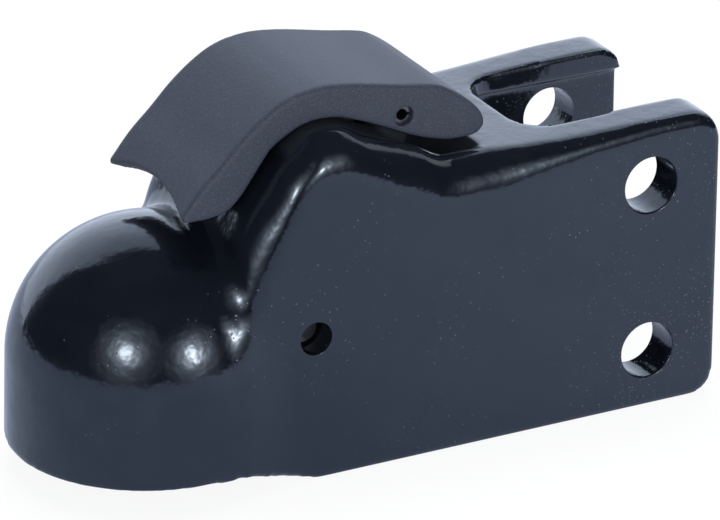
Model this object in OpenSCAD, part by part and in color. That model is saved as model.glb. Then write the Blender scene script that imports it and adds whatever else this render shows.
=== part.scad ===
// Cast ball coupling head for an adjustable trailer tongue.
// The origin is the centre of the ball; +X points back to the trailer, +Z up.
// The casting holds a wedge that locks the jaw, and the hooded lever lifts the wedge.

/* [Ball socket] */
// Diameter of the hitch ball
ball_d = 58.74; // [56:0.01:61]
// Gap between the ball and the socket wall
ball_gap = 0.38; // [0.2:0.02:0.8]
// Wall of the dome over the ball
dome_wall = 10.1; // [8:0.1:12]
// Height of the ball's centre over the bottom of the side plates
ball_height = 32; // [30:0.5:35]
// Height of the dome's rim over the bottom of the side plates
rim_height = 8; // [5:0.5:9]
// Lean of the way in, from the vertical, in degrees
entry_lean = 4; // [2:0.5:6]
// How far the dome's skirt spreads on its way down to the rim
skirt_spread = 0.8; // [0:0.1:1.5]

/* [Side plates] */
// Width over both side plates
body_w = 70.8; // [68:0.2:74]
// Gap between the two ears at the back
ear_gap = 47.8; // [45:0.2:50]
// Height of the ears' top over the bottom of the plates
plate_h = 87; // [84:0.5:90]
// Length behind the bolt holes
tail_length = 22.2; // [16:0.2:24]
// Length of the gap between the ears, from its front wall to the tail
gap_length = 54; // [50:0.5:60]
// Radius of the tail's corners, seen from the side
tail_r = 7.5; // [5:0.5:10]
// Depth of the inward lip along the top of each ear
lip_depth = 3.4; // [2:0.2:5]
// Height of that lip
lip_h = 7.5; // [4:0.5:9]

/* [Mounting bolts] */
// Distance from the ball's centre back to the bolt holes
bolt_x = 139.7; // [132:0.1:146]
// Height of the lower hole over the bottom of the plates
bolt_low = 17.5; // [15:0.5:22]
// Distance from the lower hole to the upper one
bolt_spacing = 50.8; // [46:0.1:54]
// Diameter of the bolt holes
bolt_hole_d = 16.67; // [12:0.01:20]

/* [Tower] */
// Rise of the tower's top over the top of the dome
tower_rise = 29.15; // [26:0.05:31]
// Drop from the tower's top to the low saddle behind it
saddle_drop = 15.2; // [13:0.2:18]
// How far the shoulders reach in from the side of the tower
shoulder_w = 12; // [9:0.5:13]
// Depth of the shoulder's round at the tail
tail_shoulder = 3.2; // [2:0.2:5]

/* [Lever] */
// Distance from the ball's centre back to the lever's pin
lever_x = 67.2; // [65:0.2:69]
// Depth of the lever's pin below the tower's top
pin_depth = 2.5; // [1:0.5:4]
// Width of the lever
lever_w = 48.6; // [46:0.2:50]
// Wall of the lever's cheeks and cover
lever_wall = 3.5; // [3:0.1:4]
// Reach of the lever's cover in front of its pin
lever_front = 67; // [62:0.5:68]
// Reach of the lever's tail behind its pin
lever_back = 24.8; // [22:0.2:25]
// Rise of the cover's top over its pin
lever_rise = 13; // [12:0.2:15]
// Gap between the cover's front edge and the top of the dome
front_gap = 7.65; // [5:0.05:10]
// Depth of the hollow in the front edge
scoop_depth = 5.5; // [3:0.5:8]
// How far the lever opens, in degrees
lever_open = 55; // [45:1:55]
// Diameter of the lever's pin
lever_pin_d = 5.5; // [5:0.1:6]

/* [Lock] */
// Distance from the lever's pin to the lifting pin
lift_arm = 16; // [14:0.5:17]
// Diameter of the lifting pin
lift_pin_d = 4.5; // [4:0.1:5]
// Diameter of the wedge's stem
stem_d = 12; // [11:0.1:13]
// Width of the wedge
wedge_w = 22; // [18:0.5:24]
// Slope of the wedge's face, as a run for each unit of depth
wedge_slope = 0.36; // [0.3:0.01:0.42]
// Wire of the wedge's spring
spring_wire = 1.8; // [1.4:0.1:2]
// Turns of the wedge's spring
spring_turns = 4; // [3:0.5:4.5]

/* [Jaw] */
// Distance from the ball's centre back to the jaw's pin
jaw_x = 34.5; // [34:0.1:36]
// Height of the jaw's pin over the ball's centre
jaw_z = 10.9; // [9:0.1:12]
// Diameter of the jaw's pin
jaw_pin_d = 9.5; // [8:0.1:10]
// Width of the jaw
jaw_w = 43.2; // [38:0.2:44]
// How deep the ends of the jaw's pin sit in the side plates
pin_recess = 8; // [5:0.5:9]

/* [Hidden] */

eps = 0.05;
run = 0.05;        // radial clearance of a pin or a stem that turns or slides
seat = 0.03;       // radial clearance of a pin that stays put
side_gap = 0.3;    // clearance beside and behind a moving piece
recess_gap = 0.7;  // clearance beside the lever's tail
far = 300;         // longer than anything here

floor_z = -ball_height;
rim_z = floor_z + rim_height;
socket_r = ball_d / 2 + ball_gap;
dome_r = socket_r + dome_wall;
half_w = body_w / 2;
gap_half = ear_gap / 2;
ear_top = floor_z + plate_h;
tower_top = dome_r + tower_rise;
saddle_z = tower_top - saddle_drop;
tail_x = bolt_x + tail_length;
crotch_x = tail_x - gap_length;
crotch_r = 11;
bolt_z = floor_z + bolt_low;
lever_z = tower_top - pin_depth;
lever_drop = lever_z - dome_r - front_gap;
cast_wall = 8;

// The lifting pin swings evenly to both sides of the level
half_turn = lever_open / 2;
lift_x = lever_x - lift_arm * cos(half_turn);
lift_z = lever_z - lift_arm * sin(half_turn);
lift = 2 * lift_arm * sin(half_turn);
lift_sway = lift_arm * (1 - cos(half_turn));
stem_x = lift_x - lift_sway / 2;
stem_top = lift_z + stem_d / 2;

// Lugs under the cover that hold the lifting pin, either side of the stem
lug_in = stem_d / 2 + 0.4;
lug_t = 5;
lug_out = lug_in + lug_t;
lug_r = 5.5;
clip_t = 0.8;
lift_pin_half = lug_out + side_gap + clip_t + 1.2;

// Bearing block in the casting that carries the lever's pin
pin_cover = lever_rise - 3.9;                    // the cover's height over the lever's pin
boss_r = pin_cover - lever_wall - 0.6;
boss_half = lever_w / 2 - lever_wall - 1;
boss_slot_half = lug_out + 0.9;
foot_back = 3;                                   // the foot behind the pin, clear of the open lever
tail_swing = norm([lever_back, 5.6]) + 1.2;

// Jaw: its hub stands behind the ball, and its back leans to match the wedge
hub_r = 8.5;
jaw_depth = 20;                                  // from the pin down to the heel
wedge_depth = 14;                                // from the pin down to the wedge's tip
jaw_face_r = socket_r + 0.25;
claw_z = rim_z + 0.5;
claw_reach = 16;                                 // from the pin forward to the claw's tip
jaw_back = [for (d = [-1, jaw_depth]) [jaw_x + hub_r + wedge_slope * d, jaw_z - d]];
claw_heel_x = jaw_x + hub_r - 1;

// Spaces inside the casting
chamber_half = jaw_w / 2 + 0.4;
chamber_front = jaw_x - claw_reach + 1.5;
chamber_top = jaw_z + hub_r + 4.6;
hub_back = jaw_x + hub_r + 3;
shaft_half = wedge_w / 2 + side_gap;
spring_d = stem_d + 2 * 0.4 + spring_wire;       // mean diameter of the coil
shaft_front = jaw_x + hub_r;
shaft_back = stem_x + spring_d / 2 + spring_wire / 2 + 0.5;
below = floor_z - cast_wall;                     // where cuts through the bottom start
rib_z = jaw_z + 3.1;
well_z = lift_z - lug_r - 1.4;
shaft_top = well_z - cast_wall;
well_front = lever_x - lift_arm - lug_r - 1.2;
well_half = lift_pin_half + 0.8;
pocket_front = shaft_back + cast_wall;
pocket_back = crotch_x - 9.2;
pocket_top = lever_z - tail_swing - 6.5;

// Wedge and what stands on it
wedge_front = shaft_front + 0.35;
wedge_back = shaft_back - side_gap;
washer_t = 1.2;
spring_slack = 2.3;                              // left between the coils when the wedge is up
wedge_top = shaft_top - washer_t - lift - (spring_turns + 1) * spring_wire - spring_slack;
spring_low = wedge_top + 0.1 + spring_wire / 2;
spring_high = shaft_top - washer_t - 0.15 - spring_wire / 2;

// A smooth line through points [x, value]: its slope at a point is the harmonic
// mean of the slopes on both sides, so it never swings past the points
function piece_at(p, x, i = 0) = (i >= len(p) - 2 || x < p[i + 1][0]) ? i : piece_at(p, x, i + 1);
function rise(p, i) = (p[i + 1][1] - p[i][1]) / (p[i + 1][0] - p[i][0]);
function slope(p, i) =
    i == 0 ? rise(p, 0) :
    i == len(p) - 1 ? rise(p, i - 1) :
    rise(p, i - 1) * rise(p, i) <= 0 ? 0 :
    2 * rise(p, i - 1) * rise(p, i) / (rise(p, i - 1) + rise(p, i));
function along(p, x) =
    let (i = piece_at(p, x),
         h = p[i + 1][0] - p[i][0],
         t = min(max((x - p[i][0]) / h, 0), 1))
    (2 * t ^ 3 - 3 * t ^ 2 + 1) * p[i][1] + (t ^ 3 - 2 * t ^ 2 + t) * h * slope(p, i)
    + (3 * t ^ 2 - 2 * t ^ 3) * p[i + 1][1] + (t ^ 3 - t ^ 2) * h * slope(p, i + 1);

// Lines of the casting, as functions of x
valley_x = 15.4;                                 // where the tower rises out of the dome
front_z = dome_r + 1.8;
tower_x = lever_x - 24;                          // the tower's highest point
saddle_x = lever_x + 15;
land_reach = half_w - lever_w / 2 - recess_gap - 2.9;   // leaves a narrow land beside the recess
crest_line = [[0, front_z * 0.45], [valley_x - 3, front_z - 9], [valley_x, front_z],
              [valley_x + 7, tower_top - 16.5], [valley_x + 12.4, tower_top - 8.8],
              [valley_x + 17.6, tower_top - 4.6], [tower_x - 5, tower_top - 0.3],
              [tower_x + 1, tower_top - 0.2], [tower_x + 10.5, tower_top - 4.6],
              [tower_x + 26, saddle_z + 4.6], [saddle_x - 3, saddle_z], [saddle_x + 4, saddle_z],
              [crotch_x, ear_top - 1.3], [bolt_x + 10, ear_top], [tail_x, ear_top]];
flat_line = [[0, 2], [valley_x - 4, front_z - 24.3], [valley_x + 7.5, front_z - 4.4],
             [valley_x + 15.2, tower_top - 16.6], [valley_x + 20.3, tower_top - 13],
             [tower_x - 1.6, tower_top - 12.6], [tower_x + 9, tower_top - 15.6],
             [tower_x + 20.6, saddle_z - 6.6], [saddle_x - 3.5, saddle_z - 11.6],
             [saddle_x + 9, saddle_z - 11.5], [crotch_x - 1, ear_top - 9.3],
             [crotch_x + 15, ear_top - 6.1], [bolt_x + 5, ear_top - tail_shoulder - 1.1],
             [tail_x, ear_top - tail_shoulder]];
foot_line = [[0, rim_z], [valley_x - 7, floor_z + 0.68 * rim_height],
             [valley_x + 0.6, floor_z + 0.58 * rim_height], [valley_x + 6, floor_z + 0.46 * rim_height],
             [valley_x + 11.6, floor_z + 0.29 * rim_height],
             [valley_x + 17, floor_z + 0.09 * rim_height], [valley_x + 20.5, floor_z], [tail_x, floor_z]];
reach_line = [[0, shoulder_w], [valley_x + 17, shoulder_w], [tower_x + 4, 9], [tower_x + 20, land_reach],
              [saddle_x, land_reach], [crotch_x + 3, 6], [bolt_x + 5, tail_shoulder],
              [tail_x, tail_shoulder]];

// How much the tail's round corner takes off at x
function corner(x, r) = x < tail_x - r ? 0 : r - sqrt(max(r ^ 2 - (x - tail_x + r) ^ 2, 0));

arc_steps = 8;
// One ring of a hood-shaped section: straight sides, a round shoulder, a flat top
function hood_ring(x, w, low, flat, top, reach) =
    let (right = concat([[x, w, low]],
                        [for (i = [0 : arc_steps]) let (a = 90 * i / arc_steps)
                            [x, w - reach * (1 - cos(a)), flat + (top - flat) * sin(a)]]))
    concat(right, [for (i = [len(right) - 1 : -1 : 0]) [right[i][0], -right[i][1], right[i][2]]]);

// A solid through rings that have the same number of points. Seen along the way from
// the first ring to the last, the points of a ring go clockwise
module loft(rings) {
    n = len(rings[0]);
    m = len(rings);
    sides = [for (i = [0 : m - 2], j = [0 : n - 1], k = [0, 1])
        let (a = i * n + j, b = i * n + (j + 1) % n)
        k == 0 ? [a, b + n, b] : [a, a + n, b + n]];
    first = [for (j = [0 : n - 1]) j];
    last = [for (j = [n - 1 : -1 : 0]) (m - 1) * n + j];
    polyhedron(points = [for (r = rings) each r], faces = concat(sides, [first, last]));
}

// A box-shaped hollow with round upright edges
module hollow(x0, x1, half, z0, z1, r) {
    translate([0, 0, z0]) linear_extrude(z1 - z0) {
        translate([x0 + r, -half]) square([x1 - x0 - 2 * r, 2 * half]);
        translate([x0, r - half]) square([x1 - x0, 2 * (half - r)]);
        for (x = [x0 + r, x1 - r], y = [r - half, half - r]) translate([x, y]) circle(r, $fn = 32);
    }
}

// A cylinder along Y, centred on the middle plane
module cross_pin(x, z, r, half) {
    translate([x, 0, z]) rotate([90, 0, 0]) cylinder(r = r, h = 2 * half, center = true, $fn = 64);
}

body_steps = [each [0 : 4 : 8], each [valley_x - 2 : 2.5 : valley_x + 20],
              each [valley_x + 24 : 5 : crotch_x - 2], each [crotch_x + 4 : 9 : tail_x - tail_r - 1],
              each [for (a = [0 : 18 : 90]) tail_x - tail_r * (1 - sin(a))]];

// Outside of the plates, the tower and the shoulders
module body_form() {
    loft([for (x = body_steps)
        hood_ring(x, half_w, along(foot_line, x) + corner(x, tail_r),
                  along(flat_line, x) - corner(x, tail_r), along(crest_line, x) - corner(x, tail_r),
                  along(reach_line, x))]);
}

// Half ball on a skirt that reaches down to z and may spread on the way
module bullet(r, z, spread = 0) {
    rotate_extrude($fn = 96) intersection() {
        union() {
            circle(r, $fn = 96);
            polygon([[0, 0], [0, z], [r + spread, z], [r, 0]]);
        }
        translate([0, z]) square([2 * r, r - z]);
    }
}

// Outside of the dome over the ball
module dome_form() {
    bullet(dome_r, rim_z, skirt_spread);
}

// Ball socket and its way in, which leans back so that the front lip keeps the ball
module socket_space() {
    rotate([0, -entry_lean, 0]) bullet(socket_r, below);
}

// Space behind the ball, in which the jaw swings
module jaw_space() {
    rotate([90, 0, 0]) linear_extrude(2 * chamber_half, center = true)
        polygon([[chamber_front, below], [shaft_back, below], [shaft_back, rib_z],
                 [hub_back, rib_z], [hub_back, chamber_top], [chamber_front, chamber_top]]);
}

// Shaft in which the wedge slides, the stem's guide and the well for the lifting lugs
module lock_space() {
    hollow(shaft_front, shaft_back, shaft_half, below, shaft_top, 0.8);
    translate([stem_x, 0, shaft_top - eps])
        cylinder(r = stem_d / 2 + run, h = far, $fn = 64);
    hollow(well_front, lever_x - boss_r - 0.6, well_half, well_z, far, 3);
}

// Room for the lever's tail to swing down behind its bearings
module tail_space() {
    intersection() {
        cross_pin(lever_x, lever_z, tail_swing, lever_w / 2 + recess_gap);
        translate([lever_x - boss_r + 1, -half_w, floor_z]) cube([far, body_w, far]);
    }
}

// Two bearings for the lever's pin, on one foot
module lever_bearings() {
    difference() {
        union() {
            cross_pin(lever_x, lever_z, boss_r, boss_half);
            translate([lever_x - boss_r, -boss_half, lever_z - tail_swing - 3])
                cube([boss_r + foot_back, 2 * boss_half, tail_swing + 3]);
        }
        translate([lever_x - far / 2, -boss_slot_half, lever_z - boss_r - 3])
            cube([far, 2 * boss_slot_half, far]);
    }
}

// Gap between the ears, narrowed at the top by the two lips
module ear_space() {
    hollow(crotch_x, tail_x + far, gap_half, below, ear_top - lip_h, crotch_r);
    hollow(crotch_x, tail_x + far, gap_half - lip_depth, ear_top - lip_h - 1, far, crotch_r);
}

module head_casting() {
    color([0.10, 0.11, 0.13]) difference() {
        union() {
            difference() {
                union() {
                    dome_form();
                    body_form();
                }
                tail_space();
            }
            lever_bearings();
        }
        socket_space();
        jaw_space();
        lock_space();
        ear_space();
        hollow(pocket_front, pocket_back, gap_half, below, pocket_top, 5);
        cross_pin(jaw_x, jaw_z, jaw_pin_d / 2 + seat, far);
        cross_pin(lever_x, lever_z, lever_pin_d / 2 + seat, lever_w / 2);
        for (k = [0, 1])
            cross_pin(bolt_x, bolt_z + k * bolt_spacing, bolt_hole_d / 2, far);
    }
}

// Claw that hooks under the back of the ball and turns on its pin
module jaw() {
    color([0.45, 0.46, 0.48]) difference() {
        union() {
            cross_pin(jaw_x, jaw_z, hub_r, jaw_w / 2);
            rotate([90, 0, 0]) linear_extrude(jaw_w, center = true)
                polygon([[jaw_x - 6, jaw_z + 1], jaw_back[0], jaw_back[1], [claw_heel_x, claw_z],
                         [jaw_x - claw_reach, claw_z], [jaw_x - claw_reach, claw_z + 2]]);
        }
        sphere(jaw_face_r, $fn = 96);
        cross_pin(jaw_x, jaw_z, jaw_pin_d / 2 + run, jaw_w);
        // lightening grooves in the back, either side of the wedge's track
        for (s = [-1, 1]) translate([jaw_x + hub_r - 2, s * (wedge_w / 2 + 5.5) - 3, floor_z])
            cube([far, 6, ball_height - 2]);
    }
}

module jaw_pin() {
    pin_half = half_w - pin_recess;
    edge = 0.8;
    color([0.62, 0.63, 0.65]) {
        cross_pin(jaw_x, jaw_z, jaw_pin_d / 2, pin_half - edge);
        for (s = [-1, 1]) translate([jaw_x, s * (pin_half - edge), jaw_z]) rotate([-90 * s, 0, 0])
            cylinder(r1 = jaw_pin_d / 2, r2 = jaw_pin_d / 2 - edge, h = edge, $fn = 64);
    }
}

// Wedge that drops behind the jaw, with a stem up to the lifting pin
module lock_wedge() {
    slot_half = lift_pin_d / 2 + 0.35;
    color([0.40, 0.41, 0.43]) difference() {
        union() {
            rotate([90, 0, 0]) linear_extrude(wedge_w, center = true)
                polygon([[wedge_front, wedge_top], [wedge_front, jaw_z],
                         [wedge_front + wedge_slope * wedge_depth, jaw_z - wedge_depth],
                         [wedge_back, jaw_z - wedge_depth], [wedge_back, wedge_top]]);
            translate([stem_x, 0, wedge_top - eps])
                cylinder(r = stem_d / 2, h = stem_top - 1 - wedge_top + eps, $fn = 64);
            translate([stem_x, 0, stem_top - 1])
                cylinder(r1 = stem_d / 2, r2 = stem_d / 2 - 1, h = 1, $fn = 64);
        }
        // the eye is a slot, because the lifting pin swings and the wedge goes straight
        for (s = [-1, 1])
            cross_pin(stem_x + s * lift_sway / 2, lift_z, slot_half, stem_d);
        translate([stem_x - lift_sway / 2, -stem_d, lift_z - slot_half])
            cube([lift_sway, 2 * stem_d, 2 * slot_half]);
    }
}

// Coil of round wire along Z: a tube swept along a helix with level ends
module coil(mean_r, wire_r, z0, z1, turns) {
    steps = 18;
    sides = 8;
    total = round(turns * steps);
    rings = [for (i = [0 : total])
        let (a = 360 * i / steps, z = z0 + (z1 - z0) * i / total)
        [for (j = [0 : sides - 1]) let (b = 360 * j / sides)
            [(mean_r + wire_r * cos(b)) * cos(a), (mean_r + wire_r * cos(b)) * sin(a),
             z - wire_r * sin(b)]]];
    loft(rings);
}

module lock_spring() {
    color([0.55, 0.56, 0.58]) translate([stem_x, 0, 0])
        coil(spring_d / 2, spring_wire / 2, spring_low, spring_high, spring_turns);
}

module spring_washer() {
    color([0.60, 0.61, 0.63]) translate([stem_x, 0, shaft_top - washer_t - 0.05]) difference() {
        cylinder(r = spring_d / 2 + spring_wire / 2, h = washer_t, $fn = 64);
        translate([0, 0, -eps]) cylinder(r = stem_d / 2 + run, h = washer_t + 2 * eps, $fn = 64);
    }
}

// Lines of the lever, as functions of the distance behind its pin
cover_line = [[-lever_front, -lever_drop + 1.6], [-lever_front + 6, -lever_drop + 8.9],
              [-lever_front + 12.4, lever_rise - 17], [-lever_front + 19.1, lever_rise - 10.3],
              [-lever_front + 25.8, lever_rise - 5.1], [-lever_front + 31, lever_rise - 2.2],
              [-lever_front + 36, lever_rise - 0.7], [-24.3, lever_rise], [-19, lever_rise - 0.4],
              [0, pin_cover], [lever_back - 13.8, lever_rise - 6],
              [lever_back - 11.2, lever_rise - 7.2], [lever_back - 5, lever_rise - 11.5],
              [lever_back - 1.6, lever_rise - 15.3], [lever_back, lever_rise - 18.4]];
cheek_line = [[-lever_front, -lever_drop], [-lever_front + 6, -lever_drop - 0.1],
              [-lever_front + 12, -lever_drop + 0.6], [-lever_front + 16.6, -lever_drop + 3.8],
              [-lever_front + 20.5, -lever_drop + 8.9], [-43.2, -5.6], [-40.6, -2.3], [-36.6, 0.4],
              [-31.4, 2.9], [-26, 3.8], [-21.5, 3.5], [-15, 1.6], [-5, -2.6], [1.8, -5.8],
              [lever_back - 16.3, -8.2], [lever_back - 9.5, -9.5], [lever_back - 4, -8.9],
              [lever_back, -6.2]];
lever_steps = [each [-lever_front : 3.3 : -lever_front + 37], each [-26 : 3.8 : 12],
               each [15 : 2 : lever_back - 2.5], lever_back - 1.4, lever_back - 0.5, lever_back];

function steep(p, x) = sqrt(1 + pow((along(p, x + 0.5) - along(p, x - 0.5)), 2));

module lever_form(w, drop, edge, low) {
    translate([lever_x, 0, lever_z])
        loft([for (x = lever_steps)
            let (top = along(cover_line, x) - drop * min(steep(cover_line, x), 1.6),
                 foot = low ? -40 : min(along(cheek_line, x), top - 1))
            hood_ring(x, w, foot, max(top - edge, foot + 0.4), top, edge)]);
}

// Hooded lever: a bent cover between two cheeks, with two lugs for the lifting pin
module lever() {
    lean = atan2(22.2, 19.7);
    half = lever_w / 2;
    scoop_r = (half ^ 2 + scoop_depth ^ 2) / (2 * scoop_depth);
    tip_land = 0.4;                              // the hollow stops short of the cover's tips
    color([0.28, 0.30, 0.35]) difference() {
        union() {
            difference() {
                lever_form(half, 0, 1.8, false);
                intersection() {
                    lever_form(half - lever_wall, lever_wall, 1.2, true);
                    translate([0, -half, -far / 2])
                        cube([lever_x + lever_back - lever_wall, lever_w, far]);
                }
            }
            for (s = [-1, 1]) translate([0, s * (lug_in + lug_t / 2), 0]) {
                cross_pin(lift_x, lift_z, lug_r, lug_t / 2);
                translate([lift_x - lug_r, -lug_t / 2, lift_z])
                    cube([2 * lug_r, lug_t, lever_z + lever_rise - lever_wall - 0.4 - lift_z]);
            }
        }
        cross_pin(lever_x, lever_z, lever_pin_d / 2 + run, lever_w);
        cross_pin(lift_x, lift_z, lift_pin_d / 2 + seat, lug_out + 1);
        // hollow in the front edge, cut square to the sloping cover
        translate([lever_x - lever_front, 0, lever_z - lever_drop]) rotate([0, -lean, 0])
            translate([scoop_depth - scoop_r - tip_land, 0, -far / 2])
                cylinder(r = scoop_r, h = far, $fn = 96);
    }
}

// Slotted spring pin through both cheeks and the bearings
module lever_pin() {
    inset = 1.6;                                 // the pin's ends sit below the cheeks
    pin_half = lever_w / 2 - inset;
    color([0.66, 0.67, 0.70]) difference() {
        cross_pin(lever_x, lever_z, lever_pin_d / 2, pin_half);
        cross_pin(lever_x, lever_z, lever_pin_d / 2 - 1.1, pin_half + 1);
        translate([lever_x, -far / 2, lever_z - 0.4]) cube([lever_pin_d, far, 0.8]);
    }
}

// Lifting pin with a groove near each end for its clips
module lift_pin() {
    groove = 0.5;
    color([0.62, 0.63, 0.65]) difference() {
        cross_pin(lift_x, lift_z, lift_pin_d / 2, lift_pin_half);
        for (s = [-1, 1]) translate([0, s * (lug_out + side_gap + clip_t / 2), 0]) difference() {
            cross_pin(lift_x, lift_z, lift_pin_d, clip_t / 2 + 0.1);
            cross_pin(lift_x, lift_z, lift_pin_d / 2 - groove, clip_t);
        }
    }
}

// Open ring that snaps into the lifting pin's groove
module lift_clip(s) {
    color([0.30, 0.30, 0.32]) translate([0, s * (lug_out + side_gap + clip_t / 2), 0]) difference() {
        cross_pin(lift_x, lift_z, lift_pin_d / 2 + 1.3, clip_t / 2);
        cross_pin(lift_x, lift_z, lift_pin_d / 2 - 0.5 + run, clip_t);
        translate([lift_x - 1.2, -clip_t, lift_z]) cube([2.4, 2 * clip_t, lift_pin_d]);
    }
}

module lift_clip_left() {
    lift_clip(1);
}

module lift_clip_right() {
    lift_clip(-1);
}

head_casting();
jaw();
jaw_pin();
lock_wedge();
lock_spring();
spring_washer();
lever();
lever_pin();
lift_pin();
lift_clip_left();
lift_clip_right();
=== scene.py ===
import math

import bmesh
import bpy
from mathutils import Matrix, Vector
from mathutils.bvhtree import BVHTree


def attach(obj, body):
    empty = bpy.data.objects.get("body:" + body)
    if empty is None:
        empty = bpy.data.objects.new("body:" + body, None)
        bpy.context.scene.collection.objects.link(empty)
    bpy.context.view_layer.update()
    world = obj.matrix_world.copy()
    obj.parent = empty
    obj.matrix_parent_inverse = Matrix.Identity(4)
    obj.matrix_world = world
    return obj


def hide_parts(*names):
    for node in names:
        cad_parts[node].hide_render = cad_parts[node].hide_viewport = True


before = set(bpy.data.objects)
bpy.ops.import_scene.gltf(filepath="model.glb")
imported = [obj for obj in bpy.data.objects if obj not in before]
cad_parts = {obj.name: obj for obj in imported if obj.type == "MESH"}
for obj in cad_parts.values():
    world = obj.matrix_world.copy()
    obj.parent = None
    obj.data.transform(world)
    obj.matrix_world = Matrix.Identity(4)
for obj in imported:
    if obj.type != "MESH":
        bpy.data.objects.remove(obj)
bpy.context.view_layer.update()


print("nodes:", ", ".join(sorted(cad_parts)))

# %% [markdown]
# The camera could be placed by eye, but a reflection in gloss paint gives away an error of
# one degree. So it stands where a fit to the photograph's cross holes and straight edges
# puts it: low over the left front corner, far off, with a long lens.
# %% Camera
MM = 0.001
AZIMUTH, ELEVATION = math.radians(-27.14), math.radians(23.708)
REACH, ASIDE, ABOVE = 1444.2, -65.592, 28.908
SENSOR_MM, LENS_MM = 36, 247.56
BOLT_HOLES = Vector((139.7, 0, -32))

away = Vector((math.sin(AZIMUTH) * math.cos(ELEVATION), -math.cos(AZIMUTH) * math.cos(ELEVATION),
               math.sin(ELEVATION)))
to_right = Vector((math.cos(AZIMUTH), math.sin(AZIMUTH), 0))
to_top = away.cross(to_right)
eye = (to_right * ASIDE + to_top * ABOVE + away * REACH + BOLT_HOLES) * MM

camera_data = bpy.data.cameras.new("camera")
camera_data.sensor_width = SENSOR_MM
camera_data.lens = LENS_MM
camera_data.clip_end = 20
camera = bpy.data.objects.new("camera", camera_data)
turn = Matrix((to_right, to_top, away)).transposed()
camera.matrix_world = Matrix.Translation(eye) @ turn.to_4x4()
bpy.context.scene.collection.objects.link(camera)
bpy.context.scene.camera = camera
bpy.context.scene.view_settings.view_transform = "Standard"
print("the camera stands at", tuple(round(c, 3) for c in eye))

# %% [markdown]
# Shader maths reads best as plain expressions. A small class wraps one socket and gives it
# Python's own signs, so that 1 - mask adds a Math node. Its partner makes a material and
# has one method for every other kind of node.
# %% Numbers and finishes in a shader tree


class Num:
    """One number in a shader tree."""

    def __init__(self, tree, socket):
        self.tree, self.socket = tree, socket

    def math(self, operation, *values, clamp=False):
        """A Math node with this number among its values."""
        node = self.tree.nodes.new("ShaderNodeMath")
        node.operation, node.use_clamp = operation, clamp
        for slot, value in zip(node.inputs, values):
            if isinstance(value, Num):
                self.tree.links.new(value.socket, slot)
            else:
                slot.default_value = value
        return Num(self.tree, node.outputs[0])

    def __add__(self, other):
        return self.math("ADD", self, other)

    def __sub__(self, other):
        return self.math("SUBTRACT", self, other)

    def __rsub__(self, other):
        return self.math("SUBTRACT", other, self)

    def __mul__(self, other):
        return self.math("MULTIPLY", self, other)

    def __truediv__(self, other):
        return self.math("DIVIDE", self, other)

    def __pow__(self, other):
        return self.math("POWER", self, other)

    __radd__, __rmul__ = __add__, __mul__

    def above(self, edge, soft):
        """0 well below the edge, 1 well above it, with a soft step between."""
        step = (self - (edge - soft)) / (2 * soft)
        return step.math("MULTIPLY", step, 1.0, clamp=True)

    def size(self):
        return self.math("ABSOLUTE", self)

    def larger(self, other):
        return self.math("MAXIMUM", self, other)


class Tree:
    """A node tree with one method that adds any node."""

    def __init__(self, tree):
        self.tree = tree
        tree.nodes.clear()

    def node(self, kind, settings=(), **values):
        """A node of a kind: its settings come first, then its sockets by name."""
        node = self.tree.nodes.new("ShaderNode" + kind)
        for name, value in dict(settings).items():
            if name == "stops":
                ramp = node.color_ramp
                while len(ramp.elements) < len(value):
                    ramp.elements.new(0.5)
                for element, (place, colour) in zip(ramp.elements, value):
                    element.position, element.color = place, (*colour, 1)
            else:
                setattr(node, name, value)
        for name, value in values.items():
            socket = self.socket(node.inputs, name)
            if isinstance(value, Num):
                self.tree.links.new(value.socket, socket)
            elif isinstance(value, bpy.types.NodeSocket):
                self.tree.links.new(value, socket)
            else:
                socket.default_value = value
        return node

    @staticmethod
    def socket(sockets, name):
        """The enabled socket with that name, where _ stands for a space."""
        wanted = name.replace("_", " ")
        return next(s for s in sockets if s.name == wanted and s.enabled)

    def number(self, node, output):
        return Num(self.tree, node.outputs[output])

    def mix(self, share, low, high):
        """A colour between two others."""
        node = self.node("Mix", {"data_type": "RGBA"}, Factor=share)
        for name, value in (("A", low), ("B", high)):
            socket = self.socket(node.inputs, name)
            if isinstance(value, bpy.types.NodeSocket):
                self.tree.links.new(value, socket)
            else:
                socket.default_value = (*value, 1)
        return self.socket(node.outputs, "Result")


class Finish(Tree):
    """A material whose patterns lie on the object's own coordinates."""

    def __init__(self, name):
        self.material = bpy.data.materials.new(name)
        self.material.use_nodes = True
        super().__init__(self.material.node_tree)
        self.place = self.node("TexCoord").outputs["Object"]

    def noise(self, size_mm, detail=2.0, rough=0.5, stretch=(1, 1, 1)):
        """Cloudy noise from 0 to 1 whose lumps are about size_mm across."""
        mapping = self.node("Mapping", Vector=self.place, Scale=tuple(stretch))
        node = self.node("TexNoise", Vector=mapping.outputs[0], Scale=1000 / size_mm, Detail=detail,
                         Roughness=rough)
        return self.number(node, "Fac")

    def specks(self, size_mm, share):
        """Small round specks, 1 in the middle of each and 0 between them."""
        node = self.node("TexVoronoi", Vector=self.place, Scale=1000 / size_mm)
        return 1 - self.number(node, "Distance").above(share, share * 0.4)

    def relief(self, height, depth_mm, beneath=None):
        """A bump whose height runs over depth_mm."""
        values = {"Height": height, "Distance": depth_mm * MM, "Strength": 1.0}
        if beneath is not None:
            values["Normal"] = beneath
        return self.node("Bump", **values).outputs["Normal"]

    def surface(self, **values):
        shader = self.node("BsdfPrincipled", **values)
        end = self.node("OutputMaterial")
        self.tree.links.new(shader.outputs[0], end.inputs["Surface"])
        print("finish", self.material.name, "has", len(self.tree.nodes), "nodes")
        return self.material


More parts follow.
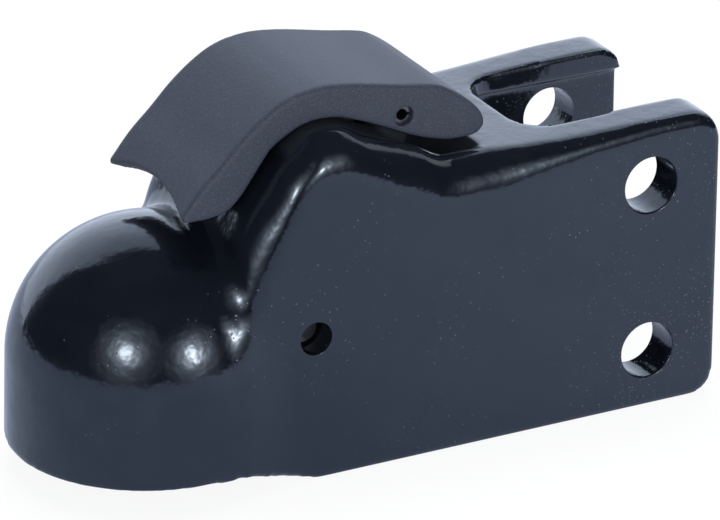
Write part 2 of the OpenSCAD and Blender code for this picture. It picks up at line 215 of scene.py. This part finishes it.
# %% [markdown]
# The casting is dipped in thick black enamel. The real coat flows, so its gloss has several
# scales: long waves, lumps, an orange peel, and grit and dust that dried in, most of it at
# the tail. A flat black would look like plastic. The paint's own colour is nearly black with
# some blue in it, and all the lighter tones come from what the gloss mirrors. The recess
# under the lever stays dull, because the dip hardly wets it.
# %% Gloss enamel


def gloss_enamel():
    paint = Finish("gloss_enamel")
    recess_half, recess_front, recess_back, recess_floor = 0.0267, 0.030, 0.0905, 0.036
    tail_start = 0.12
    waves = paint.noise(14, detail=1.0)
    peel = paint.noise(2.2, detail=1.5)
    across = paint.node("SeparateXYZ", Vector=paint.place)
    x, y, z = (paint.number(across, axis) for axis in "XYZ")
    gritty = (paint.noise(30) + x.above(tail_start, 0.04) * 0.10).above(0.56, 0.10)
    tail = x.above(tail_start + 0.008, 0.016) * paint.noise(14).above(0.50, 0.10)
    grit = (paint.specks(2.2, 0.085) * gritty).larger(paint.specks(1.3, 0.13) * tail)
    dust = paint.specks(7.0, 0.04) * paint.noise(24).above(0.5, 0.1)
    dull = (1 - y.size().above(recess_half, 0.0004)) * x.above(recess_front, 0.002)
    dull = dull * z.above(recess_floor, 0.001)
    dull = dull * (1 - x.above(recess_back, 0.0015))
    cloudy = paint.noise(9, detail=3.0, rough=0.6)
    tone = paint.mix(cloudy, (0.0030, 0.0038, 0.0062), (0.0065, 0.0080, 0.0125))
    tone = paint.mix(dust * 0.25 + grit * 0.30, tone, (0.32, 0.34, 0.38))
    lumps = paint.noise(5.5, detail=2.0)
    normal = paint.relief(waves, 0.20)
    normal = paint.relief(lumps, 0.13, normal)
    normal = paint.relief(peel, 0.050, normal)
    normal = paint.relief(grit + dust * 0.5, 0.05, normal)
    rough = (0.10 + cloudy * 0.07 + grit * 0.2 + dust * 0.3).larger(dull * 0.85)
    return paint.surface(Base_Color=tone, Roughness=rough, Normal=normal, IOR=1.62,
                         Specular_Tint=(0.80, 0.89, 1.0, 1))


enamel = gloss_enamel()

# %% [markdown]
# The lever has another coat: a matt, finely pebbled grey with a little blue. It could be a
# plain rough colour, but in the photograph its grain shows up close, so two sizes of grain
# go into its bump and a slow cloud into its tone.
# %% Matt pebbled coat


def pebbled_coat():
    coat = Finish("pebbled_coat")
    grain = coat.noise(0.55, detail=2.0, rough=0.6)
    pebble = coat.noise(1.5, detail=1.0)
    cloud = coat.noise(18, detail=3.0)
    tone = coat.mix(cloud, (0.0200, 0.0245, 0.0375), (0.0270, 0.0325, 0.0485))
    tone = coat.mix(grain.above(0.62, 0.10) * 0.55, tone, (0.085, 0.095, 0.125))
    normal = coat.relief(pebble, 0.05)
    normal = coat.relief(grain, 0.045, normal)
    return coat.surface(Base_Color=tone, Roughness=0.50 + grain * 0.16, Normal=normal, IOR=1.5)


coat = pebbled_coat()

# %% [markdown]
# The latch inside is bare metal. Drawn pins have fine rings of scratches along their
# length, while forged pieces are dark, with a scale that has rubbed off in places. Both
# are one recipe with other numbers, so one function makes them all.
# %% Bare steels


def bare_steel(name, dark, bright, rough, stretch=(1, 1, 1), wear_mm=9):
    steel = Finish(name)
    scratches = steel.noise(0.5, detail=3.0, stretch=stretch)
    worn = steel.noise(wear_mm, detail=5.0, rough=0.65).above(0.52, 0.10)
    tone = steel.mix(worn * 0.8 + scratches * 0.2, dark, bright)
    normal = steel.relief(scratches, 0.008)
    return steel.surface(Base_Color=tone, Metallic=1.0, Normal=normal,
                         Roughness=rough + 0.18 * scratches - 0.12 * worn)


drawn = bare_steel("drawn_steel", (0.40, 0.41, 0.42), (0.60, 0.61, 0.62), 0.28, (1, 0.06, 1))
forged = bare_steel("forged_steel", (0.07, 0.07, 0.075), (0.24, 0.24, 0.245), 0.46)
sprung = bare_steel("spring_steel", (0.06, 0.06, 0.065), (0.15, 0.15, 0.155), 0.36, wear_mm=4)
plated = bare_steel("zinc_plate", (0.44, 0.45, 0.47), (0.62, 0.63, 0.65), 0.30, wear_mm=3)

FINISHES = {"jaw": forged, "lock_wedge": forged, "jaw_pin": sprung, "lever_pin": sprung,
            "lift_pin": drawn, "lock_spring": sprung, "spring_washer": plated,
            "lift_clip_left": sprung, "lift_clip_right": sprung, "head_casting": enamel,
            "lever": coat}
for name, finish in FINISHES.items():
    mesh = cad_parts[name].data
    mesh.materials.clear()
    mesh.materials.append(finish)
print("finishes given to", len(FINISHES), "nodes")

# %% [markdown]
# The solids have the right sizes but flat facets and sharp edges, and gloss paint shows
# every facet. So the casting and the lever are made again here, finer, from the same
# measurements. Three small tools make all their forms: a turned form from a profile, a
# prism from an outline, and a skin through rings. Each starts from an operator's shape.
# %% Tools that make a form


def point_outwards(bm):
    bmesh.ops.recalc_face_normals(bm, faces=bm.faces)
    if bm.calc_volume(signed=True) < 0:
        bmesh.ops.reverse_faces(bm, faces=bm.faces)
    return bm


def turned(profile, steps=160):
    """A profile of (radius, height) in millimetres, spun round Z."""
    bm = bmesh.new()
    chain = [bm.verts.new((r, 0, z)) for r, z in profile]
    for a, b in zip(chain, chain[1:]):
        bm.edges.new((a, b))
    bmesh.ops.spin(bm, geom=bm.verts[:] + bm.edges[:], cent=(0, 0, 0), axis=(0, 0, 1),
                   angle=math.tau, steps=steps, use_merge=True)
    bmesh.ops.remove_doubles(bm, verts=bm.verts, dist=1e-4)
    return point_outwards(bm)


def prism(outline, along):
    """A flat outline of points, pulled along a vector."""
    bm = bmesh.new()
    face = bmesh.ops.contextual_create(bm, geom=[bm.verts.new(p) for p in outline])["faces"]
    pulled = bmesh.ops.extrude_face_region(bm, geom=face, use_keep_orig=True)["geom"]
    bmesh.ops.translate(bm, verts=[g for g in pulled if isinstance(g, bmesh.types.BMVert)],
                        vec=along)
    return point_outwards(bm)


def skin(rings):
    """A closed form through rings with the same number of points: a grid, wrapped."""
    around, ahead = len(rings[0]), len(rings) - 1
    bm = bmesh.new()
    bmesh.ops.create_grid(bm, x_segments=around, y_segments=ahead, size=0.5)
    for v in bm.verts:
        i, j = round((v.co.x + 0.5) * around), round((v.co.y + 0.5) * ahead)
        v.co = rings[j][i % around]
    bmesh.ops.remove_doubles(bm, verts=bm.verts, dist=1e-4)
    bmesh.ops.holes_fill(bm, edges=[e for e in bm.edges if e.is_boundary])
    return point_outwards(bm)


def arc(centre, radius, start, end, steps=24):
    """Points of an arc in a plane, with its angles in degrees."""
    turns = [math.radians(start + (end - start) * i / steps) for i in range(steps + 1)]
    return [(centre[0] + radius * math.cos(t), centre[1] + radius * math.sin(t)) for t in turns]


def sideways(outline, low, high):
    """A prism from points (x, z) between two places on Y."""
    return prism([(x, low, z) for x, z in outline], (0, high - low, 0))


def upright(x0, x1, half, z0, z1, r):
    """A box with round upright edges."""
    corners = [((x1 - r, half - r), 0), ((x0 + r, half - r), 90),
               ((x0 + r, r - half), 180), ((x1 - r, r - half), 270)]
    outline = [p for centre, a in corners for p in arc(centre, r, a, a + 90, 10)]
    return prism([(x, y, z0) for x, y in outline], (0, 0, z1 - z0))


def made(name, *forms):
    """One object from several closed forms, turned from millimetres into metres."""
    bm = bmesh.new()
    for form in forms:
        part = bpy.data.meshes.new("part")
        form.to_mesh(part)
        form.free()
        bm.from_mesh(part)
        bpy.data.meshes.remove(part)
    bmesh.ops.scale(bm, vec=(MM, MM, MM), verts=bm.verts)
    mesh = bpy.data.meshes.new(name)
    bm.to_mesh(mesh)
    bm.free()
    piece = bpy.data.objects.new(name, mesh)
    bpy.context.scene.collection.objects.link(piece)
    return piece


# %% [markdown]
# Forms are joined and cut with Blender's own modifiers, which are applied at once, so a
# piece ends as one plain mesh. Between the two, a voxel remesh fuses the forms into one
# even skin. Smoothing that skin rounds every edge, as the sand mould and the paint do.
# %% Tools that join, cut and round


def settle(piece):
    """Applies a piece's modifiers."""
    depsgraph = bpy.context.evaluated_depsgraph_get()
    mesh = bpy.data.meshes.new_from_object(piece.evaluated_get(depsgraph))
    piece.modifiers.clear()
    old, piece.data = piece.data, mesh
    bpy.data.meshes.remove(old)


def combine(piece, others, operation):
    """Joins forms to a piece or cuts them out of it, one after the other."""
    for other in others:
        step = piece.modifiers.new("step", "BOOLEAN")
        step.operation, step.solver, step.object = operation, "MANIFOLD", other
        settle(piece)
        bpy.data.objects.remove(other)
    return piece


def fuse(piece, voxel_mm, passes):
    """One even skin over everything, with each edge rounded a little."""
    remesh = piece.modifiers.new("remesh", "REMESH")
    remesh.mode, remesh.voxel_size = "VOXEL", voxel_mm * MM
    settle(piece)
    bm = bmesh.new()
    bm.from_mesh(piece.data)
    for _ in range(passes):
        bmesh.ops.smooth_vert(bm, verts=bm.verts, factor=0.5, use_axis_x=True, use_axis_y=True,
                              use_axis_z=True)
    bm.to_mesh(piece.data)
    bm.free()


def smooth_shade(piece, degrees=32):
    piece.data.shade_smooth()
    piece.data.set_sharp_from_angle(angle=math.radians(degrees))
    print(piece.name, "has", sum(len(p.vertices) - 2 for p in piece.data.polygons), "triangles")


# %% [markdown]
# The casting's side view is four lines: its crest, the edge where its flat side ends and
# the shoulder starts, its foot, and how far the shoulder reaches in. A smooth line runs
# through the measured points of each without swinging past them.
# %% The casting's measurements
SOCKET_R = 29.75
DOME_R, SKIRT_SPREAD = 39.85, 0.8
RIM_Z, FLOOR_Z = -24, -32
HALF_W, GAP_HALF = 35.4, 23.9
EAR_TOP, TOWER_TOP, SADDLE_Z = 55, 69, 53.8
TAIL_X, TAIL_R, CROTCH_X, BOLT_X = 161.9, 7.5, 107.9, 139.7
BOLT_ZS, BOLT_R = (-14.5, 36.3), 8.335
LEVER_X, LEVER_Z, LEVER_PIN_R = 67.2, 66.5, 2.75
JAW_X, JAW_Z, JAW_PIN_R = 34.5, 10.9, 4.75
LIFT_X, LIFT_Z = 53.01, 59.11
VALLEY_X, FRONT_Z = 15.4, DOME_R + 1.8
TOWER_X, SADDLE_X = LEVER_X - 24, LEVER_X + 15


def smooth_line(points, x):
    """The height at x of a smooth line that never swings past its points."""
    def rise(i):
        return (points[i + 1][1] - points[i][1]) / (points[i + 1][0] - points[i][0])

    def slope(i):
        if i in (0, len(points) - 1):
            return rise(min(i, len(points) - 2))
        a, b = rise(i - 1), rise(i)
        return 0 if a * b <= 0 else 2 * a * b / (a + b)

    i = max([k for k in range(len(points) - 1) if points[k][0] <= x], default=0)
    h = points[i + 1][0] - points[i][0]
    t = min(max((x - points[i][0]) / h, 0), 1)
    return ((2 * t**3 - 3 * t**2 + 1) * points[i][1] + (t**3 - 2 * t**2 + t) * h * slope(i)
            + (3 * t**2 - 2 * t**3) * points[i + 1][1] + (t**3 - t**2) * h * slope(i + 1))


CREST = [(0, FRONT_Z * 0.45), (VALLEY_X - 3, FRONT_Z - 9), (VALLEY_X, FRONT_Z),
         (VALLEY_X + 7, TOWER_TOP - 16.5), (VALLEY_X + 12.4, TOWER_TOP - 8.8),
         (VALLEY_X + 17.6, TOWER_TOP - 4.6), (TOWER_X - 5, TOWER_TOP - 0.3),
         (TOWER_X + 1, TOWER_TOP - 0.2), (TOWER_X + 10.5, TOWER_TOP - 4.6),
         (TOWER_X + 26, SADDLE_Z + 4.6), (SADDLE_X - 3, SADDLE_Z), (SADDLE_X + 4, SADDLE_Z),
         (CROTCH_X, EAR_TOP - 1.3), (BOLT_X + 10, EAR_TOP), (TAIL_X, EAR_TOP)]
FLAT_END = [(0, -8), (VALLEY_X - 4.4, FRONT_Z - 36.6), (VALLEY_X - 0.2, FRONT_Z - 26.6),
            (VALLEY_X + 5.4, FRONT_Z - 11.2), (VALLEY_X + 9.7, FRONT_Z - 1.6),
            (VALLEY_X + 15.2, TOWER_TOP - 17.2), (VALLEY_X + 20.3, TOWER_TOP - 13),
            (TOWER_X - 1.6, TOWER_TOP - 12.6), (TOWER_X + 9, TOWER_TOP - 15.6),
            (TOWER_X + 20.6, SADDLE_Z - 6.6), (SADDLE_X - 3.5, SADDLE_Z - 11.6),
            (SADDLE_X + 9, SADDLE_Z - 11.5), (CROTCH_X - 1, EAR_TOP - 9.3),
            (CROTCH_X + 15, EAR_TOP - 6.1), (BOLT_X + 5, EAR_TOP - 4.3), (TAIL_X, EAR_TOP - 3.2)]
FOOT = [(0, RIM_Z), (VALLEY_X - 7, RIM_Z - 0.6), (VALLEY_X - 1.4, RIM_Z - 1.9),
        (VALLEY_X + 4.6, RIM_Z - 4.1), (VALLEY_X + 11.6, FLOOR_Z + 2.2),
        (VALLEY_X + 17, FLOOR_Z + 0.8), (VALLEY_X + 20.5, FLOOR_Z), (TAIL_X, FLOOR_Z)]
REACH_IN = [(0, 12), (VALLEY_X + 17, 12), (TOWER_X + 4, 10), (TOWER_X + 20, 10), (SADDLE_X, 9.6),
            (CROTCH_X + 3, 6), (BOLT_X + 5, 3.2), (TAIL_X, 3.2)]
print("the crest at the tower is", round(smooth_line(CREST, TOWER_X), 1),
      "mm over the ball's centre")

# %% [markdown]
# Each ring of the body is hood-shaped: upright sides, a round shoulder and a flat top. At
# the tail the rings shrink along a quarter circle, which rounds the ears' corners. Both the
# body and the dome can be made with a drop, which lets their sides run on below the foot.
# Those two longer shells only guide the blend between them, further down.
# %% The casting's outside


def hood(x, half, low, flat, top, reach, steps=14):
    """One ring across the piece at x."""
    right = [(x, half, low + (flat - low) * i / 6) for i in range(6)]
    turns = [math.radians(90 * i / steps) for i in range(steps + 1)]
    right += [(x, half - reach * (1 - math.cos(t)), flat + (top - flat) * math.sin(t))
              for t in turns]
    return right + [(px, -py, pz) for px, py, pz in reversed(right)]


def tail_corner(x):
    inner = TAIL_X - TAIL_R
    return 0 if x < inner else TAIL_R - math.sqrt(max(TAIL_R**2 - (x - inner)**2, 0))


def body_rings(drop=0):
    """The rings of the body, from its front to the tail."""
    places = [i * 1.5 for i in range(103)]
    places += [TAIL_X - TAIL_R * (1 - math.sin(math.radians(9 * i))) for i in range(11)]
    return [hood(x, HALF_W, smooth_line(FOOT, x) + tail_corner(x) - drop,
                 smooth_line(FLAT_END, x) - tail_corner(x), smooth_line(CREST, x) - tail_corner(x),
                 smooth_line(REACH_IN, x)) for x in places if x < TAIL_X + 1e-6]


def dome(drop=0):
    """The dome on its skirt, whose rim follows the foot line towards the plates."""
    rim = RIM_Z - drop
    form = turned([(0, DOME_R)] + [(DOME_R * math.sin(t), DOME_R * math.cos(t)) for t in
                                   [math.radians(1.5 * i) for i in range(1, 61)]]
                  + [(DOME_R + SKIRT_SPREAD / 2, RIM_Z / 2), (DOME_R + SKIRT_SPREAD, rim),
                     (0, rim)])
    for v in form.verts:
        if v.co.z < rim + 0.1 and 0 < v.co.x:
            v.co.z = min(rim, smooth_line(FOOT, v.co.x) - drop)
    return form


casting = made("casting", skin(body_rings()))
combine(casting, [made("dome", dome())], "UNION")
dome_shell = BVHTree.FromObject(made("dome_shell", dome(30)), bpy.context.evaluated_depsgraph_get())
body_shell = BVHTree.FromObject(made("body_shell", skin(body_rings(30))),
                                bpy.context.evaluated_depsgraph_get())
for shell in ("dome_shell", "body_shell"):
    bpy.data.objects.remove(bpy.data.objects[shell])
print("the casting's outside has", len(casting.data.polygons), "faces")

# %% [markdown]
# The gap between the ears and the recess for the lever's tail come from the mould, so they are cut
# before the skin is fused and get the same round edges. The core pocket is cut later, with the
# bores. The two bearings of the lever's pin stand in the recess, on one foot.
# %% Cast spaces and bearings
TAIL_SWING, RECESS_HALF = 26.62, 25
BEARING_R, BEARING_OUT, BEARING_IN = 5, 19.8, 12.3


def ear_gap():
    low = upright(CROTCH_X, TAIL_X + 30, GAP_HALF, FLOOR_Z - 10, EAR_TOP - 7.5, 11)
    lips = upright(CROTCH_X, TAIL_X + 31, GAP_HALF - 3.4, EAR_TOP - 8.5, EAR_TOP + 40, 11)
    return [made("gap", low), made("lips", lips)]


def tail_recess():
    outline = arc((LEVER_X, LEVER_Z), TAIL_SWING, -100, 100, 60)
    return made("recess", sideways(outline, -RECESS_HALF, RECESS_HALF))


def bearings():
    foot = [(LEVER_X - BEARING_R, 36.88), (LEVER_X + 3, 36.88), (LEVER_X + 3, 58),
            (LEVER_X - BEARING_R, 58)]
    block = arc((LEVER_X, LEVER_Z), BEARING_R, 0, 180, 30)
    block += [(LEVER_X - BEARING_R, 56), (LEVER_X + 3, 56), (LEVER_X + BEARING_R, LEVER_Z - 4)]
    return [made("foot", sideways(foot, -BEARING_OUT, BEARING_OUT)),
            made("left_bearing", sideways(block, BEARING_IN, BEARING_OUT)),
            made("right_bearing", sideways(block, -BEARING_OUT, -BEARING_IN))]


combine(casting, [tail_recess()] + ear_gap(), "DIFFERENCE")
combine(casting, bearings(), "UNION")
fuse(casting, 1.05, 3)
print("the fused skin has", len(casting.data.polygons), "faces")

# %% [markdown]
# Where the dome runs into the plates and the tower, the real casting has a broad hollow
# blend. Smoothing alone would also pull the dome in. So each point near the seam is moved
# out to a soft union of both shells, whose distances are mixed over a given width. Away
# from the seam that union is the two forms themselves, so the dome stays a true ball.
# %% The blend between dome and body


def signed(shell, point):
    """How far a point is outside a shell, and the way out."""
    spot, normal, _, far = shell.find_nearest(point)
    way = point - spot
    side = 1 if way.dot(normal) >= 0 else -1
    return side * far, (way * (side / far) if far > 1e-7 else normal)


def blend_width(point, width_mm):
    """The blend fades out towards the front."""
    to_front = min(max((point.x / MM - 2) / 9, 0), 1)
    return max(width_mm * to_front, 0.5) * MM


def blend_seam(piece, width_mm, rounds=5):
    bm = bmesh.new()
    bm.from_mesh(piece.data)
    moved = []
    for v in bm.verts:
        width = blend_width(v.co, width_mm)
        for k in range(rounds):
            (a, out_a), (b, out_b) = signed(dome_shell, v.co), signed(body_shell, v.co)
            if k == 0 and (abs(a - b) > width or min(a, b) < -0.9 * MM):
                break
            share = min(max(0.5 + 0.5 * (b - a) / width, 0), 1)
            depth = b + (a - b) * share - width * share * (1 - share)
            v.co -= (out_a * share + out_b * (1 - share)).normalized() * depth
        else:
            moved.append(v)
    for _ in range(6):
        bmesh.ops.smooth_vert(bm, verts=moved, factor=0.5, use_axis_x=True, use_axis_y=True,
                              use_axis_z=True)
    bm.to_mesh(piece.data)
    bm.free()
    print("blended", len(moved), "points along the seam")


blend_seam(casting, 6)

# %% [markdown]
# The ball socket, the bolt holes and the bores for pins are machined or cored, so they are
# cut last and stay crisp. Each cutter flares by a quarter round where it leaves the metal,
# which gives the hole's rim the small round that thick paint leaves.
# %% Bores and cored spaces


def bore(x, z, r, round_mm=0.5, outside=HALF_W, depth=None):
    """A bore along Y through both sides, with its outer rims rounded."""
    rim = [(r + round_mm * (1 - math.cos(t)), outside - round_mm + round_mm * math.sin(t))
           for t in [math.radians(15 * i) for i in range(7)]]
    half = [(0, 0), (r, 0)] + rim + [(r + round_mm, outside + 9), (0, outside + 9)]
    sides = [turned(half, 72), turned([(q, -y) for q, y in half], 72)]
    for side in sides:
        bmesh.ops.rotate(side, verts=side.verts, cent=(0, 0, 0),
                         matrix=Matrix.Rotation(math.radians(-90), 3, "X"))
        bmesh.ops.translate(side, verts=side.verts, vec=(x, 0, z))
    return [made("bore", side) for side in sides]


def socket():
    flare = [(SOCKET_R + 1.2 * (1 - math.cos(t)), RIM_Z + 1.4 - 1.2 * math.sin(t))
             for t in [math.radians(15 * i) for i in range(7)]]
    ball = [(SOCKET_R * math.sin(t), SOCKET_R * math.cos(t))
            for t in [math.radians(2 * i) for i in range(46)]]
    form = turned(ball + flare + [(SOCKET_R + 1.2, -60), (0, -60)], 128)
    bmesh.ops.rotate(form, verts=form.verts, cent=(0, 0, 0),
                     matrix=Matrix.Rotation(math.radians(-4), 3, "Y"))
    return made("socket", form)


def lock_spaces():
    swing = [(20, -42), (60.8, -42), (60.8, 14), (46, 14), (46, 24), (20, 24)]
    stem = turned([(0, 40), (6.05, 40), (6.05, 120), (0, 120)], 64)
    bmesh.ops.translate(stem, verts=stem.verts, vec=(52.105, 0, 0))
    return [made("swing", sideways(swing, -22, 22)),
            made("shaft", upright(43, 60.8, 11.3, -41, 44.21, 0.8)), made("stem", stem),
            made("well", upright(44.5, 61.6, 14.5, 52.21, 121, 3)),
            made("pocket", upright(68.8, 98.7, GAP_HALF, -43, 33.38, 5))]


combine(casting, [socket()] + lock_spaces(), "DIFFERENCE")
combine(casting, bore(JAW_X, JAW_Z, JAW_PIN_R + 0.03, 0.2), "DIFFERENCE")
for bolt_z in BOLT_ZS:
    combine(casting, bore(BOLT_X, bolt_z, BOLT_R), "DIFFERENCE")
combine(casting, bore(LEVER_X, LEVER_Z, LEVER_PIN_R + 0.03, 0.3, BEARING_OUT), "DIFFERENCE")
smooth_shade(casting)
casting.data.materials.clear()
casting.data.materials.append(enamel)
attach(casting, "head")
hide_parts("head_casting")

# %% [markdown]
# The lever is a hooded cover, 3.5 mm thick, bent over two cheeks. Its outside and its
# hollow are two skins through rings, one cut from the other. The front edge has a shallow
# hollow that a big cylinder cuts square to the cover. A finer voxel keeps the thin walls.
# %% The lever
LEVER_FRONT, LEVER_BACK, LEVER_RISE, LEVER_DROP = 67, 24.8, 13, 19
LEVER_HALF, LEVER_WALL = 24.3, 3.5
COVER = [(-LEVER_FRONT, -17.4), (-61, -10.1), (-54.6, -4), (-47.9, 2.7), (-41.2, 7.9),
         (-36, 10.8), (-31, 12.3), (-24.3, LEVER_RISE), (-19, 12.6), (0, 9.1), (11, 7),
         (13.6, 5.8), (19.8, 1.5), (22.6, -1.1), (24.1, -3.0), (LEVER_BACK, -4.4)]
CHEEK = [(-LEVER_FRONT, -LEVER_DROP), (-61, -19.1), (-55, -18.4), (-50.4, -15.2),
         (-46.5, -10.1), (-43.2, -5.6),
         (-40.6, -2.3), (-36.6, 0.4), (-31.4, 2.9), (-26, 3.8), (-21.5, 3.5), (-15, 1.6),
         (-5, -2.6), (1.8, -5.8), (8.5, -8.2), (15.3, -9.6), (20.8, -9.6), (23.2, -8.9),
         (LEVER_BACK, -7.4)]


def lever_rings(half, drop, edge, hollow):
    places = [-LEVER_FRONT + 1.1 * i for i in range(83)] + [23.9, 24.4, LEVER_BACK]
    if hollow:
        end = LEVER_BACK - LEVER_WALL
        places = [-68.5, -67.4] + [x for x in places if x < end] + [end]
    rings = []
    for x in places:
        steep = math.hypot(1, smooth_line(COVER, x + 0.5) - smooth_line(COVER, x - 0.5))
        top = smooth_line(COVER, x) - drop * min(steep, 1.6)
        foot = -42 if hollow else min(smooth_line(CHEEK, x), top - 1)
        ring = hood(x, half, foot, max(top - edge, foot + 0.4), top, edge)
        rings.append([(px + LEVER_X, py, pz + LEVER_Z) for px, py, pz in ring])
    return rings


def front_scoop():
    depth, lean = 5.5, math.atan2(22.2, 19.7)
    r = (LEVER_HALF**2 + depth**2) / (2 * depth)
    bm = bmesh.new()
    bmesh.ops.create_cone(bm, cap_ends=True, segments=256, radius1=r, radius2=r, depth=200)
    place = (Matrix.Translation((LEVER_X - LEVER_FRONT, 0, LEVER_Z - LEVER_DROP))
             @ Matrix.Rotation(-lean, 4, "Y") @ Matrix.Translation((depth - r - 0.4, 0, 0)))
    bmesh.ops.transform(bm, matrix=place, verts=bm.verts)
    return made("scoop", point_outwards(bm))


def lug(side):
    r, inner, outer = 5.5, 6.4, 11.4
    outline = arc((LIFT_X, LIFT_Z), r, 180, 360, 24)
    outline += [(LIFT_X + r, LEVER_Z + 9.2), (LIFT_X - r, LEVER_Z + 9.6)]
    return made("lug", sideways(outline, *sorted((side * inner, side * outer))))


lever = made("lever_hood", skin(lever_rings(LEVER_HALF, 0, 1.5, False)))
hollow = made("hollow", skin(lever_rings(LEVER_HALF - LEVER_WALL, LEVER_WALL, 1.2, True)))
combine(lever, [hollow, front_scoop()], "DIFFERENCE")
combine(lever, [lug(-1), lug(1)], "UNION")
fuse(lever, 0.5, 3)
combine(lever, bore(LEVER_X, LEVER_Z, LEVER_PIN_R + 0.05, 0.5, LEVER_HALF), "DIFFERENCE")
combine(lever, bore(LIFT_X, LIFT_Z, 2.28, 0.3, 11.4), "DIFFERENCE")
smooth_shade(lever)
lever.data.materials.clear()
lever.data.materials.append(coat)
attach(lever, "handle")
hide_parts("lever")

# %% [markdown]
# The studio can be read from the dome, which mirrors it like a ball: a white table out to
# about 0.7 m, a white backdrop behind, two lamps on either side of the camera and a dark
# room above. The world paints the backdrop by direction, for what the gloss mirrors, and
# plain white for what the camera sees.
# %% The table
STAGE_R, WHITE = 0.75, (1, 1, 1)


def pale_table():
    """A round white table whose mirrored glow has painted shade near the dome and painted light
    behind the tail.
    """
    painted_shade_tint, painted_light_tint = (0.47, 0.57, 0.78), (0.85, 0.95, 1.2)
    bm = bmesh.new()
    bmesh.ops.create_circle(bm, cap_ends=True, segments=128, radius=STAGE_R)
    bmesh.ops.translate(bm, verts=bm.verts, vec=(0.06, 0, FLOOR_Z * MM))
    mesh = bpy.data.meshes.new("table")
    bm.to_mesh(mesh)
    bm.free()
    table = bpy.data.objects.new("table", mesh)
    bpy.context.scene.collection.objects.link(table)
    material = bpy.data.materials.new("table_white")
    material.use_nodes = True
    top = Tree(material.node_tree)
    rays = top.node("LightPath")
    seen = top.number(rays, "Is Camera Ray").larger(top.number(rays, "Is Glossy Ray"))
    seen = seen.larger(top.number(rays, "Is Transmission Ray"))
    paper = top.node("BsdfDiffuse", Color=(0.86, 0.86, 0.86, 1))
    camera_ray = top.number(rays, "Is Camera Ray")
    place = top.node("TexCoord").outputs["Object"]
    cloud = top.number(top.node("TexNoise", Vector=place, Scale=16, Detail=3), "Fac")
    # The glow's painted shade near the dome and painted light behind the tail, in cloudy patches.
    back = top.number(top.node("SeparateXYZ", Vector=place), "X").above(0.115, 0.085)
    back = back * 0.75 + cloud * 0.9 - 0.33
    tint = top.mix(back, painted_shade_tint, painted_light_tint)
    tint = top.mix(camera_ray, tint, WHITE)
    glow = top.node("Emission", Color=tint, Strength=1.0)
    both = top.node("MixShader", Fac=seen * 0.91)
    top.tree.links.new(paper.outputs[0], both.inputs[1])
    top.tree.links.new(glow.outputs[0], both.inputs[2])
    end = top.node("OutputMaterial")
    top.tree.links.new(both.outputs[0], end.inputs["Surface"])
    mesh.materials.append(material)
    return table


table = pale_table()
print("the table lies at", FLOOR_Z, "mm")

# %% [markdown]
# The world is white where the camera looks past the table. For gloss it is a white roll of
# paper behind the object, from left to right about 50 degrees either way and up to about
# 65 degrees, with the dark room round it. The paper is brighter low down, and brightest at
# one place that the ears' tops mirror. For plain light the world is an even pale grey.
# %% The world


def studio_world():
    world = bpy.data.worlds.new("studio")
    world.use_nodes = True
    bpy.context.scene.world = world
    sky = Tree(world.node_tree)
    way = sky.node("SeparateXYZ", Vector=sky.node("TexCoord").outputs["Generated"])
    x, y, z = (sky.number(way, axis) for axis in "XYZ")
    room, plain_light, bluish = 0.03, 0.48, (0.80, 0.90, 1.08)
    turn = math.radians(72)
    ahead = x * math.cos(turn) + y * math.sin(turn)
    aside = (x * -math.sin(turn) + y * math.cos(turn)).size()
    front = ahead.larger(0.001)
    paper = (1 - (aside / front).above(1.15, 0.05)) * (1 - (z / front).above(2.1, 0.15))
    rays = sky.node("LightPath")
    seen = sky.number(rays, "Is Camera Ray")
    gloss = sky.number(rays, "Is Glossy Ray").larger(sky.number(rays, "Is Transmission Ray"))
    low = 1 - (z / front).above(0.9, 0.6)
    hot = (x * 0.47 + y * 0.814 + z * 0.342).above(0.92, 0.07)
    paper = paper * (1.1 + low * 0.5 + hot * 0.35)
    level = seen + (1 - seen) * (gloss * (paper + room) + (1 - gloss) * plain_light)
    tint = sky.mix(seen, bluish, WHITE)
    light = sky.node("Background", Color=tint, Strength=level)
    end = sky.node("OutputWorld")
    sky.tree.links.new(light.outputs[0], end.inputs["Surface"])


studio_world()

# %% [markdown]
# Two lamps stand where their mirror images sit on the dome: left and right of the camera,
# some 20 degrees up. Each is a nest of round panels, from a small bright one to wide faint
# ones, which gives the spots their halo. A pale screen to the right makes the light band on
# the casting beside the lever, and a large panel overhead lights the lever and the tops.
# %% The lamps


def panel(name, azimuth, elevation, distance, size, power):
    """A round lamp that faces the ball's centre, with angles in degrees."""
    lamp = bpy.data.lights.new(name, "AREA")
    lamp.shape, lamp.size, lamp.energy = "DISK", size, power
    a, e = math.radians(azimuth), math.radians(elevation)
    place = Vector((math.cos(a) * math.cos(e), math.sin(a) * math.cos(e), math.sin(e))) * distance
    lit = bpy.data.objects.new(name, lamp)
    facing = place.to_track_quat("Z", "Y").to_matrix().to_4x4()
    lit.matrix_world = Matrix.Translation(place) @ facing
    bpy.context.scene.collection.objects.link(lit)
    return lit


LAMP_AWAY = 1.6
HALO = ((0.20, 1.8), (0.30, 0.7), (0.42, 0.9), (0.56, 0.9), (0.74, 1.1), (0.96, 1.1), (1.20, 1.1),
        (1.50, 1.1))
for side, azimuth, elevation, wide in (("left", -133, 22, 1.2), ("right", -77, 16, 1.0)):
    for size, power in HALO:
        disc = panel(side + "_disc", azimuth, elevation, LAMP_AWAY + size * 0.02, size * wide,
                     power * wide)
        disc.data.color = (0.84, 0.92, 1.0) if size > 0.5 else WHITE
screen = panel("right_screen", 18, 38, LAMP_AWAY, 0.9, 2.4)
screen.data.color = (0.86, 0.92, 1.0)
screen.data.shape, screen.data.size_y = "RECTANGLE", 0.9
overhead = panel("overhead", 60, 75, LAMP_AWAY, 1.2, 24)
overhead.visible_glossy = False
